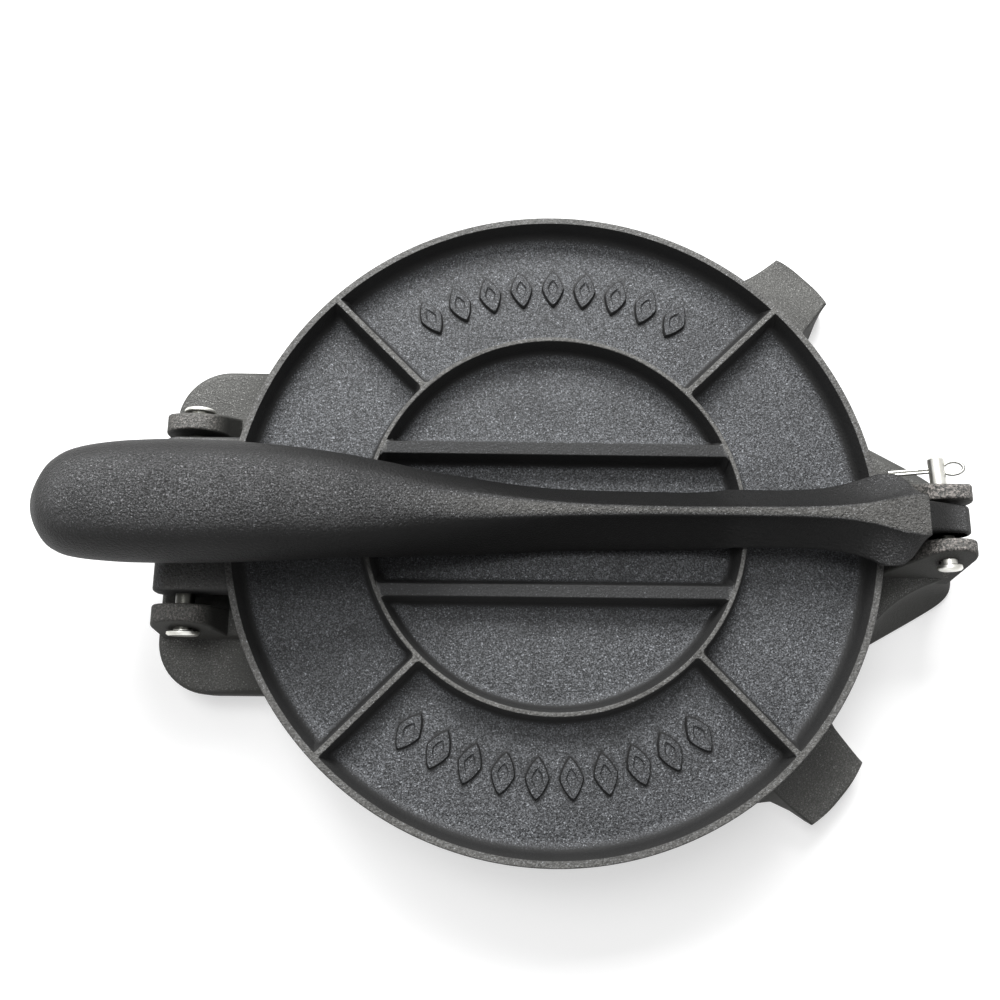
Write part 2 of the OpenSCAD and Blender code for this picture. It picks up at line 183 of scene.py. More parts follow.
# %% Fused castings
def fused(name, body, add=(), cut=()):
    """One closed mesh: the body with each skin of add joined to it and each skin of cut taken away."""
    for tool, operation in [(t, "UNION") for t in add] + [(t, "DIFFERENCE") for t in cut]:
        step = body.modifiers.new(operation.lower(), "BOOLEAN")
        step.operation = operation
        step.solver = "MANIFOLD"
        step.object = tool
    bpy.context.view_layer.update()
    mesh = bpy.data.meshes.new_from_object(body.evaluated_get(bpy.context.evaluated_depsgraph_get()))
    mesh.name = name
    for used in [body, *add, *cut]:
        bpy.data.objects.remove(used)
    piece = bpy.data.objects.new(name, mesh)
    bpy.context.scene.collection.objects.link(piece)
    print(f"{name}: {len(mesh.vertices)} points, {len(mesh.polygons)} faces")
    return piece

# %% [markdown]
# A low wall on a casting leans outwards a few degrees, so that the pattern can
# be drawn out of the sand, and it meets the floor in a round foot. Where two
# walls meet, the same roundness fills the corner. The top plate's rim, ring,
# ribs and bars all use this one profile.

# %% The profile of a cast wall
draft = math.tan(math.radians(6))
foot_r = 3.0
edge_r = 0.4


def wall_side(half, foot=foot_r):
    """Half of a wall's section as (distance from its middle line, height), from the floor to the top:
    a round foot, a leaning side and a round top edge."""
    out = half + recess * draft
    return np.r_[arc((out + foot, foot), foot, 270, 186, 7),
                 arc((half - edge_r, recess - edge_r), edge_r, 6, 90, 4)]


def wall_at(height, half, foot=foot_r):
    """How far a wall's side is from its middle line at a height above the floor."""
    d, h = wall_side(half, foot).T
    return np.interp(height, h, d)

# %% [markdown]
# The top plate is a disc with a raised rim and a raised inner ring, both turned
# with the disc in a single profile, so nothing shows where they meet. Four
# ribs run from the ring to the rim and two bars cross the ring. Each is its
# section carried along a line, and it widens into the wall that it runs into.

# %% The top plate's turned disc
rim_w = 2.25
rim_in = plate_r - rim_w
ring_r = 59.9
ring_half = 0.75
side_r = 1.4


def disc_profile():
    """(radius, height) from the middle of the underside, round the edge and over the rim and the ring."""
    underside = np.c_[[0, 30, 60, 85, plate_r - 4], np.full(5, top_z)]
    edge = np.r_[arc((plate_r - side_r, top_z + side_r), side_r, -90, 0, 4),
                 arc((plate_r - 0.5, rim_z - 0.5), 0.5, 0, 90, 4)]
    rim = wall_side(0, 4.2)[::-1] * [-1, 1] + [rim_in, floor_z]
    outer_floor = np.c_[np.linspace(91, 69, 7), np.full(7, floor_z)]
    ring_out = wall_side(ring_half) + [ring_r, floor_z]
    ring_in = wall_side(ring_half)[::-1] * [-1, 1] + [ring_r, floor_z]
    inner_floor = np.c_[[50, 40, 30, 20, 10, 0], np.full(6, floor_z)]
    return np.r_[underside, edge, rim[2:], outer_floor, ring_out, ring_in, inner_floor]

disc = spin("disc", disc_profile())

# %% Ribs and bars
rib_half = 1.0
bar_half = 2.05
bar_y = 22.7
below = 1.5
sunk = 0.08


def strip(name, start, end, half, within, beyond=0, steps=60):
    """A wall carried along the line from start to end. Each side moves out by
    R - sqrt(R^2 - (R - gap)^2) where its gap to the ring or the rim is under R, and R shrinks from
    the foot's radius on the floor to a small one at the top. No point lies outside the circle of
    radius within, or inside that of radius beyond."""
    side = wall_side(half)
    side[:, 1] -= sunk
    section = np.r_[[[side[0, 0], -below]], side, side[::-1] * [-1, 1], [[-side[0, 0], -below]]]
    along = (1 - np.cos(np.linspace(0, np.pi, steps))) / 2
    path = start + along[:, None] * (end - start)
    ahead = (end - start) / np.linalg.norm(end - start)
    left = np.array([-ahead[1], ahead[0]])
    d, h = section.T
    plan = path[:, None, :] + d[None, :, None] * left
    r = np.linalg.norm(plan, axis=-1)
    level = np.clip(h, 0, recess)
    gap_in = r - (ring_r + wall_at(level, ring_half))
    gap_out = rim_in - wall_at(level, 0, 4.2) - r
    gap_inside = ring_r - wall_at(level, ring_half) - r
    flare = np.zeros(r.shape)
    for gap, top_r in ((np.where(r > ring_r, gap_in, gap_inside), 1.2), (gap_out, 0.3)):
        corner = top_r + (foot_r + 0.5 - top_r) * (1 - level / recess) ** 2
        near = corner - np.clip(gap, 0, corner)
        flare = np.maximum(flare, corner - np.sqrt(corner ** 2 - near ** 2))
    plan = path[:, None, :] + (d + np.sign(d) * flare)[..., None] * left
    offset = plan @ left
    for bound in (within, -beyond):
        if bound:
            far = np.sign(plan @ ahead) * np.sqrt(np.maximum(bound ** 2 - offset ** 2, 0))
            r = np.linalg.norm(plan, axis=-1)
            past = (r > bound) if bound > 0 else (r < -bound)
            plan = np.where(past[..., None], offset[..., None] * left + far[..., None] * ahead, plan)
    rings = np.concatenate([plan, np.broadcast_to(floor_z + h[:, None], plan.shape[:2] + (1,))], axis=-1)
    return skin(name, rings)


def polar(radius, degrees):
    """The (x, y) place at a radius and an angle."""
    return radius * np.array([math.cos(math.radians(degrees)), math.sin(math.radians(degrees))])

# each rib's angle at the ring and at the rim: a pattern maker set them by eye
RIB_ENDS = [(44.4, 44.3), (134.3, 134.6), (-43.3, -44.3), (-134.2, -134.6)]
ribs = [strip(f"rib_{i}", polar(ring_r, a), polar(rim_in + 1, b), rib_half, rim_in + 1, ring_r)
        for i, (a, b) in enumerate(RIB_ENDS)]
bar_end = math.sqrt(ring_r ** 2 - bar_y ** 2)
bars = [strip(f"bar_{side}", np.array([-bar_end, side * bar_y]), np.array([bar_end, side * bar_y]), bar_half,
              ring_r) for side in (-1, 1)]

# %% [markdown]
# The tongue hangs the top plate on its two pins. It is drawn from the side, with
# a round nose over the pins, and that outline is carried across. A bevelled box
# would be quicker, but the nose turns in sight as the lid opens. What would
# reach inside the rim is cut away before the tongue joins the disc.

# %% The tongue of the top plate, between the hinge ears
tongue_w = 49.4
tongue_y = 0.8


def tongue_outline():
    """(x, z) round the tongue: flat on top, round over the hinge pin and sloping up underneath."""
    end = hinge[0] - 3.2
    return np.r_[[[-plate_r + 8, rim_z - 0.6]], [[end, rim_z - 0.3]],
                 arc((end, rim_z - 6.3), 6, 100, 180, 10),
                 arc(hinge, 9.7, 180, 270, 14),
                 [[hinge[0] + 4, hinge[1] - 9.0], [-plate_r - 3, top_z + 0.8], [-plate_r + 8, top_z + 0.1]]]

tongue = slab("tongue", tongue_outline(), tongue_y - tongue_w / 2, tongue_y + tongue_w / 2, 1.3)
inside_rim = spin("inside_rim", [(0, 0), (rim_in + 0.8, 0), (rim_in + 0.8, 60), (0, 60)])
tongue = fused("tongue", tongue, cut=[inside_rim])

# %% [markdown]
# Raised lozenges fill the two places where the real casting has words. A
# lozenge is a plain, old pattern for a mould maker: four cuts of a gouge. Each
# has a hollow middle, so its line is about as wide as a cast letter's stroke. Rings
# laid one above another give it, and a loop sets a row of them round an arc.

# %% Raised lozenges
lozenge_long = 6.4
lozenge_wide = 3.7
lozenge_h = 1.3


def lozenge(name, radius, degrees):
    """Rings of a diamond with round corners: outer foot, outer edge, inner edge, inner floor."""
    a = np.radians(np.linspace(0, 360, 48, endpoint=False))
    circle = np.c_[np.cos(a), np.sin(a)]
    shape = np.sign(circle) * np.abs(circle) ** 1.5
    scale = [1.06, 1.0, 0.9, 0.5, 0.42, 0.3]
    level = [-0.6, 0.55 * lozenge_h, lozenge_h, lozenge_h, 0.7 * lozenge_h, 0.5 * lozenge_h]
    rings = []
    for s, h in zip(scale, level):
        plan = shape * [lozenge_long * s, lozenge_wide * s] + [radius, 0]
        turn = np.array([polar(1, degrees), polar(1, degrees + 90)])
        rings.append(np.c_[plan @ turn, np.full(len(plan), floor_z + h)])
    return skin(name, np.array(rings))

lozenge_step = 7.6
lozenges = [lozenge(f"lozenge_back_{i}", 81, 90 + lozenge_step * (i - 4)) for i in range(9)]
lozenges += [lozenge(f"lozenge_front_{i}", 79, -90 + lozenge_step * (i - 4.5)) for i in range(10)]

# %% The top plate put together
hinge_bore = rod("hinge_bore", hinge, -40, 40, 3.06)
top_plate = fused("top_plate_casting", disc, ribs + bars + [tongue] + lozenges, [hinge_bore])

# %% [markdown]
# The base casting carries everything. A plain pressing plate has a wide box
# foot and two ears at the hinge, two corner feet, and a flared foot with two
# ears at the lever. They were one pour of iron, so they are fused here too.

# %% The base's pressing plate
def base_profile():
    """(radius, height) of the pressing plate: flat below, a short skirt, a round edge, flat on top."""
    skirt = 5.0
    return np.r_[np.c_[[0, 40, 80, plate_r - 7], np.full(4, base_z)],
                 [[plate_r - 6, base_z - skirt], [plate_r - 2, base_z - skirt]],
                 arc((plate_r - 0.8, press_z - 0.8), 0.8, 0, 90, 4),
                 np.c_[[80, 40, 0], np.full(3, press_z)]]

base = spin("base_disc", base_profile())

# %% [markdown]
# The wide foot stands out behind the hinge, so that the press can't tip over
# when the lid is up. It is a low box with two round corners and a soft top edge,
# hollow underneath: its outline is drawn in step by step on the way up. The
# same outline, drawn in by the wall, is the hollow.

# %% The wide foot under the hinge
flange_root = -70
flange_reach = 128.5
flange_y = 55.2
flange_z = 14.0
flange_wall = 6.0


def flange_plan(drawn_in, corner=18.0):
    """The foot's outline seen from above, with two round corners away from the plates."""
    x, y, r = drawn_in - flange_reach, flange_y - drawn_in, corner - drawn_in
    back, front = arc((x + r, y - r), r, 90, 180, 16), arc((x + r, r - y), r, 180, 270, 16)
    return np.r_[[[flange_root, -y], [flange_root, y]], back, front]


def levels(outlines, heights):
    """Rings from outlines laid at their heights."""
    return np.array([np.c_[p, np.full(len(p), h)] for p, h in zip(outlines, heights)])

round_top = np.radians(np.linspace(0, 90, 6))
flange_in = np.r_[0.5, 0.0, 0.3 + 2.4 * (1 - np.cos(round_top))]
flange_up = np.r_[0.0, 0.8, flange_z - 2.4 * (1 - np.sin(round_top))]
flange = skin("flange", levels([flange_plan(d) for d in flange_in], flange_up))
flange_hollow = skin("flange_hollow", levels([flange_plan(flange_wall), flange_plan(flange_wall)],
                                             [-1, flange_z - flange_wall]))
under_plate = spin("under_plate", [(0, -1), (plate_r - 8, -1), (plate_r - 8, 60), (0, 60)])
flange = fused("flange", flange, cut=[flange_hollow, under_plate])

# %% [markdown]
# The corner feet are stubby ramps that fall from the plate's edge to the table
# and end in a slightly bulging tip. No simple solid has that form, so each foot
# is lofted: sections stand across its line, closer together towards the tip,
# where they change fastest. The two feet share one function and differ in rows.

# %% The two corner feet
foot_top = press_z - 1.0
foot_drop = 11.5
foot_edge = 1.1
foot_bulge = 50.0
root = 101.0
# angle, reach, then (distance from the plates' centre, half width) of the top and of the sole
FEET = [
    (45.7, 133.0, [(88, 19), (104, 16), (110, 14.5), (120, 13.4), (131, 12.2)],
     [(100, 24), (112, 21), (116, 18.5), (121.4, 16.2), (127, 14.1), (131.9, 12.4)]),
    (-42.2, 127.0, [(88, 19), (104, 16), (107.5, 14.6), (117, 14), (124.5, 13.3)],
     [(100, 24), (108, 21.5), (110.4, 19), (113.3, 15.6), (119.9, 13.5), (125, 12.7)])]


def corner_foot(name, degrees, reach, top_rows, sole_rows):
    """Sections across the foot at distances s. The top falls as 1 - (1 - u)^1.7 from its root to its
    tip, the half widths follow their rows, and the tip bulges as sqrt(2 R (reach - s))."""
    s = reach - (reach - 88) * (1 - np.sin(np.linspace(0, np.pi / 2, 90)))
    u = np.clip((s - root) / (reach - root), 0, 1)
    into_edge = np.clip((s - reach + foot_edge) / foot_edge, 0, 1)
    top = foot_top - foot_drop * (1 - (1 - u) ** 1.7) - foot_edge * (1 - np.sqrt(1 - into_edge ** 2))
    low = np.interp(s, [88, root, root + 6], [base_z, base_z, 0])
    tip_half = np.sqrt(2 * foot_bulge * np.maximum(reach - s, 1e-5))
    upper, sole = (np.minimum(np.interp(s, *np.transpose(rows)), tip_half)[:, None]
                   for rows in (top_rows, sole_rows))
    a = np.radians(np.linspace(0, 90, 5))[None, :]
    edge = np.minimum(foot_edge, 0.4 * upper)
    top, low = top[:, None], low[:, None]
    right = np.concatenate([sole, upper - edge * (1 - np.cos(a))], axis=1)
    up = np.concatenate([low, top - edge * (1 - np.sin(a))], axis=1)
    across = np.concatenate([right, -right[:, ::-1]], axis=1)
    height = np.concatenate([up, up[:, ::-1]], axis=1)
    out, side = polar(1, degrees), polar(1, degrees + 90)
    plan = s[:, None, None] * out + across[..., None] * side
    return skin(name, np.concatenate([plan, height[..., None]], axis=-1))

feet = [corner_foot(f"corner_foot_{i}", *rows) for i, rows in enumerate(FEET)]

# %% [markdown]
# The foot under the clevis flares like a skirt, wide on the table and narrow at
# the ears. It is drawn as a plan with few corners at its bottom and its top, and
# every level between is a mix of the two. Cutting the corners of a plan again
# and again rounds it, as a Subdivision Surface modifier would.

# %% The clevis foot
lug_tip = clevis[0] + 17


def cut_corners(outlines, passes):
    """Closed outlines (..., n, d) whose corners are cut, in each pass, at a quarter and at three
    quarters of every side."""
    for _ in range(passes):
        after = np.roll(outlines, -1, axis=-2)
        cut = np.stack([0.75 * outlines + 0.25 * after, 0.25 * outlines + 0.75 * after], axis=-2)
        outlines = cut.reshape(*outlines.shape[:-2], -1, outlines.shape[-1])
    return outlines


def lug_plan(open_out, drawn_in=0.0):
    """Half of the foot's outline, mirrored: open_out is 1 on the floor and 0 at its top."""
    on_floor = np.array([[plate_r - 10, 45], [plate_r + 10, 34.1], [clevis[0] + 8, 24.5], [lug_tip - 3, 20.5],
                         [lug_tip - 0.2, 16.5], [lug_tip, 11]])
    at_top = np.array([[plate_r - 10, 36], [plate_r, 31.5], [plate_r + 7, 24.5], [plate_r + 17, 18.5],
                       [clevis[0] + 7, 15.4], [clevis[0] + 10, 11]])
    half = at_top + open_out * (on_floor - at_top) - drawn_in
    return cut_corners(np.r_[half * [1, -1], half[::-1]], 3)

lug_height = press_z - 1.5
lug_edge = 1.6
lug_rise = np.linspace(0, 1, 16)
turn_in = np.radians(np.linspace(0, 90, 6))
lug_plans = [lug_plan(1.0, 0.6), lug_plan(1.0)]
lug_plans += [lug_plan((1 - t) ** 1.5) for t in lug_rise]
lug_plans += [lug_plan(0.0, lug_edge * (1 - math.cos(a))) for a in turn_in[1:]]
lug_levels = np.r_[0, 0.6, 1.4 + lug_rise * (lug_height - lug_edge - 1.4),
                   lug_height - lug_edge * (1 - np.sin(turn_in[1:]))]
lug = skin("lug", levels(lug_plans, lug_levels))
lug_hollow = skin("lug_hollow", levels([lug_plan(1.0, 6.5), lug_plan(0.35, 6.5), lug_plan(0.0, 6.5)],
                                       [-1, 7, press_z - 7.5]))
under_plate = spin("under_plate", [(0, -1), (plate_r - 8, -1), (plate_r - 8, 60), (0, 60)])
lug = fused("lug", lug, cut=[lug_hollow, under_plate])

# %% [markdown]
# Two pairs of ears hold the pins. An ear's inner face is upright, because a
# tongue turns against it, and its outer face leans, so that the pattern draws.
# Each is a slab like the tongue, with one leaning face and round rims.

# %% The four ears
hinge_ear_r = 9.9
hinge_side = 27.6
hinge_ear_t = 5.4
hinge_lean = math.tan(math.radians(11))
clevis_ear_r = 9.0
clevis_lean = math.tan(math.radians(14))
# inner face and top thickness of the back and of the front clevis ear
CLEVIS_EARS = [(6.3, 4.6), (-5.9, 3.9)]


def hinge_ear_outline():
    """(x, z) round a hinge ear: a round end over the pin, and a steep web down to the wide foot."""
    r = hinge_ear_r
    return np.r_[arc(hinge, r, 0, 180, 30),
                 [[hinge[0] - r, flange_z - 1], [-plate_r + 6, flange_z - 1], [-plate_r + 6, press_z - 4],
                  [hinge[0] + r + 2, press_z - 4]]]


def clevis_ear_outline():
    """(x, z) round a clevis ear: a round end over the pin, and a web back to the plate's edge."""
    r = clevis_ear_r
    return np.r_[arc(clevis, r, 0, 150, 26),
                 [[plate_r + 2.5, press_z + 1], [plate_r - 3, press_z - 1.5], [plate_r - 3, base_z],
                  [clevis[0] + r, base_z]]]


def ear(name, outline, inner, side, thick, lean):
    """An ear whose inner face is upright and whose outer face flares; side is 1 at the back."""
    if side > 0:
        return slab(name, outline, inner, inner + thick, 0.9, lean=(0, lean))
    return slab(name, outline, inner - thick, inner, 0.9, lean=(lean, 0))

ears = [ear(f"hinge_ear_{i}", hinge_ear_outline(), side * hinge_side, side, hinge_ear_t, hinge_lean)
        for i, side in enumerate((1, -1))]
ears += [ear(f"clevis_ear_{i}", clevis_ear_outline(), inner, np.sign(inner), thick, clevis_lean)
         for i, (inner, thick) in enumerate(CLEVIS_EARS)]

# %% [markdown]
# Under the pressing plate four plain bars stiffen it. They show only when the
# press is picked up, so they stay simple.

# %% Ribs under the base, and the base put together
def underside_rib(name, degrees):
    """A plain bar under the pressing plate, from near its middle to its skirt."""
    out, side = polar(1, degrees), polar(1, degrees + 90)
    across = np.array([-2.5, 2.5, 2.5, -2.5])
    height = np.array([base_z - 3, base_z - 3, base_z + 1, base_z + 1])
    rings = [np.c_[s * out + across[:, None] * side, height] for s in (20, plate_r - 6)]
    return skin(name, np.array(rings))

under_ribs = [underside_rib(f"under_rib_{i}", a) for i, a in enumerate((FEET[0][0], FEET[1][0], 135, 225))]
bores = [rod("hinge_bore", hinge, -40, 40, 3.0), rod("clevis_bore", clevis, -20, 20, 2.5)]
base_casting = fused("base_plate_casting", base, [flange, lug] + feet + ears + under_ribs, bores)

# %% [markdown]
# The lever is a single sweep of sections from the round handle to the hood over
# the clevis. On the real one the handle is fat and round, and the arm is a tall
# wedge with a narrow crest. Each row of the table is one section; between the
# rows every value follows a smooth curve, and each section's corners are cut
# twice, which rounds them as the sand does.

# %% The lever's sections
handle_r = 18.3
lever_y = 0.5
# x, then underside, widest line and crest above the rim, half width, crest half width, roundness
LEVER_ROWS = np.array([
    [-158, 7.3, 8.8, 10.3, 0.8, 0.4, 1],
    [-157, 3.8, 8.8, 13.8, 5, 2, 1],
    [-154, 0.2, 9.6, 19, 10, 4, 1],
    [-150, -1.3, 11.2, 24, handle_r - 4.5, 5, 1],
    [-144, -1.5, 13.2, 28.4, handle_r - 2.1, 5, 1],
    [-136, -0.6, 15, 31.3, handle_r - 0.9, 5, 1],
    [-126, 0.7, 16.3, 33.2, handle_r - 0.2, 5, 1],
    [-114, 0.8, 17.4, 34.4, handle_r, 5, 1],
    [-100, 0.8, 17.6, 34.4, handle_r - 0.3, 5, 1],
    [-88, 0.8, 17.2, 33.4, handle_r - 0.9, 5, 1],
    [-76, 0.8, 16, 31.3, handle_r - 1.7, 4.6, 1],
    [-64, 0.8, 13.5, 28.4, handle_r - 2.7, 4.4, 1],
    [-57, 0.8, 11, 26.3, handle_r - 3.3, 4.2, 0.95],
    [-50, -2.4, 8, 24, 14.5, 4.1, 0.9],
    [-42, -6.4, 4.5, 21.5, 13.6, 4, 0.8],
    [-34, -7.5, 2, 19.1, 12.9, 4, 0.68],
    [-24, -7.6, -1, 16.9, 12.2, 3.6, 0.52],
    [-12, -7.6, -3.4, 14.8, 11.2, 2.8, 0.34],
    [0, -7.6, -4.3, 13.5, 10.3, 2.1, 0.18],
    [15, -7.6, -4.5, 12.8, 9.9, 1.6, 0.08],
    [40, -7.5, -4.2, 12.8, 9.6, 1.4, 0],
    [48, -6, -3, 13, 9.5, 1.4, 0],
    [56, 0.8, 1.4, 13.3, 9.4, 1.4, 0],
    [70, 0.8, 1.6, 13.4, 9.3, 1.5, 0],
    [82, 1.2, 2.2, 13.5, 9.8, 1.9, 0],
    [90, 2.6, 3.6, 13.5, 11, 2.5, 0],
    [96, 4.4, 5.4, 13.4, 12.6, 3.3, 0],
    [101, 5.2, 6.2, 13.2, 13.9, 4.3, 0],
    [105, 5.4, 6.4, 13, 13.9, 5.3, 0],
    [108.5, 5.4, 6.4, 12.6, 12.2, 5.9, 0],
    [111, 5.2, 6.2, 12.2, 9.6, 6.4, 0],
    [113, 4.8, 6, 11.8, 7.4, 6.2, 0]])


def between_rows(x, rows):
    """Values at x on cubic curves through the rows. A row's slope is the harmonic mean of its two
    neighbouring slopes where they agree in sign, and 0 where they don't, so no curve overshoots."""
    at, value = rows[:, 0], rows[:, 1:]
    step = np.diff(at)[:, None]
    slope = np.diff(value, axis=0) / step
    product = slope[1:] * slope[:-1]
    total = slope[1:] + slope[:-1]
    mean = np.where(product > 0, 2 * product / np.where(total == 0, 1, total), 0)
    slope = np.r_[slope[:1], mean, slope[-1:]]
    i = np.clip(np.searchsorted(at, x, side="right") - 1, 0, len(at) - 2)
    t = ((x - at[i]) / np.diff(at)[i])[:, None]
    return ((1 + 2 * t) * (1 - t) ** 2 * value[i] + t * (1 - t) ** 2 * step[i] * slope[i]
            + t * t * (3 - 2 * t) * value[i + 1] + t * t * (t - 1) * step[i] * slope[i + 1])


def lever_sections(x):
    """Rings of the lever at the places x. u runs from the widest line (0) to the crest (1), where a
    round section is a quarter ellipse and a flat one a hollow side, mixed by the roundness. The
    hood's front flank is widened by a bell curve about x = 102."""
    low, widest, crest, half, crest_half, roundness = between_rows(x, LEVER_ROWS).T[:, :, None]
    u = np.linspace(0, 1, 9)[None, :]
    round_y = half * np.sqrt(1 - (0.98 * u) ** 2)
    flat_y = crest_half + (half - crest_half) * (1 - u) ** 1.35
    upper_y = roundness * round_y + (1 - roundness) * flat_y
    upper_z = widest + (crest - widest) * u
    under_y = half * np.array([[0.45, 0.8, 0.96]])
    under_z = low + (widest - low) * np.array([[0, 0.22, 0.6]])
    y = np.concatenate([under_y, upper_y], axis=1)
    z = rim_z + np.concatenate([under_z, upper_z], axis=1)
    front = 1 + 1.5 * np.exp(-((x[:, None] - 102) / 7) ** 2) / half
    y, z = np.concatenate([y, -(front * y)[:, ::-1]], axis=1), np.concatenate([z, z[:, ::-1]], axis=1)
    rings = np.stack([np.repeat(x[:, None], y.shape[1], axis=1), y + lever_y, z], axis=-1)
    return cut_corners(rings, 2)

tip = -158 + 8 * (1 - np.cos(np.linspace(0, np.pi / 2, 16)))
stations = np.r_[tip, np.arange(-149, 96, 1.5), np.linspace(96, 113, 34)]
lever_body = skin("lever_body", lever_sections(stations))

# %% [markdown]
# The lever ends in a flat tongue that turns on the pin. Its outline is two lines
# that touch the round end, and the touching points come from a formula, so the
# lines meet the curve with no corner.

# %% The lever's tongue, between the clevis ears
lever_end_r = 7.6
lever_t = 9.0


def tangent_point(start, centre, radius, side):
    """Where a line from start touches a circle: at an angle of acos(r / distance) from the start."""
    away = np.subtract(start, centre)
    a = math.atan2(away[1], away[0]) + side * math.acos(radius / np.hypot(*away))
    return np.add(centre, (radius * math.cos(a), radius * math.sin(a)))


def lever_tongue_outline():
    """(x, z) round the tongue: from under the hood down to a round end on the pin."""
    upper, lower = (111, rim_z + 12), (111, rim_z + 5.2)
    first = tangent_point(upper, clevis, lever_end_r, -1)
    last = tangent_point(lower, clevis, lever_end_r, 1)
    a0, a1 = (math.degrees(math.atan2(p[1] - clevis[1], p[0] - clevis[0])) for p in (first, last))
    return np.r_[[upper], arc(clevis, lever_end_r, a0, a1 - 360, 40), [lower], [[95, rim_z + 5.6]],
                 [[95, rim_z + 11.8]]]

lever_tongue = slab("lever_tongue", lever_tongue_outline(), lever_y - lever_t / 2, lever_y + lever_t / 2, 1.0)
lever_bore = rod("lever_bore", clevis, -10, 10, 2.55)
lever = fused("lever_casting", lever_body, [lever_tongue], [lever_bore])

# %% [markdown]
# The pins are bright zinc: two short headed pins on the hinge line, and one
# clevis pin with a thin round head. Turned work on a lathe is a profile spun
# about an axis, and it is made in just that way here.

# %% The pins
pin_seat = hinge_side + hinge_ear_t + (hinge_ear_r + 3) * hinge_lean


def hinge_pin(name, side):
    """A rod into the tongue and a thin flat head outside the ear, turned about the hinge line."""
    head = np.c_[[4.6, 5.0, 5.0, 4.7, 4.2, 3.9, 0], [0, 0.3, 0.9, 1.3, 1.5, 1.35, 1.35]]
    profile = np.r_[[[0, -22], [2.6, -22], [3.0, -21.6], [3.0, -1], [3.0, -0.5], [3.0, 0]], head]
    profile[:, 1] = side * (profile[:, 1] + pin_seat)
    return spin(name, profile, 48, hinge, "y")


pin_head_y = CLEVIS_EARS[1][0] - 7.2
pin_length = 34.5
pin_skew = math.tan(math.radians(2.4))


def clevis_pin():
    """Head, shank and chamfered end, turned about the lever's axis. The pin has play in its ears and
    lies a little askew: x shifts by the skew for every millimetre of y."""
    profile = [(0, -1.9), (2.4, -1.9), (3.2, -1.7), (3.7, -1.2), (3.7, -0.3), (3.5, 0), (2.45, 0),
               (2.45, 2.6), (2.45, 3.1), (2.45, 22.6), (2.45, 23.1), (2.45, pin_length - 0.5),
               (2.05, pin_length), (0, pin_length)]
    pin = spin("lever_pin_turned", np.array(profile) + [0, pin_head_y], 48, clevis, "y")
    points = np.empty(3 * len(pin.data.vertices))
    pin.data.vertices.foreach_get("co", points)
    points[0::3] -= pin_skew * (points[1::3] - 0.003)
    pin.data.vertices.foreach_set("co", points)
    return pin

hinge_pins = [hinge_pin("hinge_pin_turned_back", 1), hinge_pin("hinge_pin_turned_front", -1)]
lever_pin = clevis_pin()

# %% [markdown]
# The split pin is one length of wire, bent double round an eye. It could be a
# Blender curve with a bevel, but the two legs lie so close that each ring is
# better placed one by one: every ring stands square across the wire's path.

# %% The split pin
wire_r = 0.52
cotter_y = pin_head_y + pin_length - 3.8
cotter_slope = math.radians(25)


def tube(name, path, radius, sides=12):
    """A round wire along a flat path in the (x, y) plane of its own: each ring lies across the path."""
    ahead = np.gradient(path, axis=0)
    ahead /= np.linalg.norm(ahead, axis=1)[:, None]
    across = np.c_[-ahead[:, 1], ahead[:, 0]]
    a = np.linspace(0, 2 * np.pi, sides, endpoint=False)
    r = np.broadcast_to(np.asarray(radius, float), len(path))[:, None, None]
    flat = path[:, None, :] + r * np.cos(a)[None, :, None] * across[:, None, :]
    up = np.broadcast_to(r[..., 0] * np.sin(a)[None, :], flat.shape[:2])
    tilted_x = flat[..., 0] * math.cos(cotter_slope) - up * math.sin(cotter_slope)
    tilted_z = flat[..., 0] * math.sin(cotter_slope) + up * math.cos(cotter_slope)
    rings = np.stack([tilted_x + clevis[0], flat[..., 1] + cotter_y, tilted_z + clevis[1]], axis=-1)
    return skin(name, rings)


def cotter_path():
    """Along one leg, round the eye and back along the other leg, a wire's width beside it. The eye's
    half width is w sin(b) between its neck (b = 0) and its end (b = 180), and one side bulges more."""
    lane = 0.5
    legs = np.linspace(-15.4, 1.2, 30)
    b = np.radians(np.linspace(15, 345, 44))
    eye = np.c_[1.2 + 3.0 * (1 - np.cos(b)), -np.sin(b) * np.where(b < np.pi, 1.8, 2.3)]
    return np.r_[np.c_[legs, np.full(30, -lane)], eye, np.c_[legs[::-1][:29], np.full(29, lane)]]

cotter = tube("cotter_pin_wire", cotter_path(), wire_r)

# %% [markdown]
# The press stands on pale paper that ends in a white room. The paper catches
# the shadow. Its own glow, like the room's white, reaches only what is seen
# straight or in a mirror. The camera and the pins find white all round, and the
# iron's upright sides, which would soak up real light from the paper, stay dark.

# %% The floor
floor_half = 3.0
paper_tone = 0.5
glow_near = 0.60
# how far from the press, in metres, the glow starts to grow and is full
GROWS = (0.45, 1.2)


def seen_or_mirrored(tree):
    """1 for what the camera sees, straight or in a mirror, and 0 for light that falls on the press."""
    path = tree.nodes.new("ShaderNodeLightPath")
    either = tree.nodes.new("ShaderNodeMath")
    either.operation = "MAXIMUM"
    tree.links.new(path.outputs["Is Camera Ray"], either.inputs[0])
    tree.links.new(path.outputs["Is Glossy Ray"], either.inputs[1])
    return either.outputs[0]


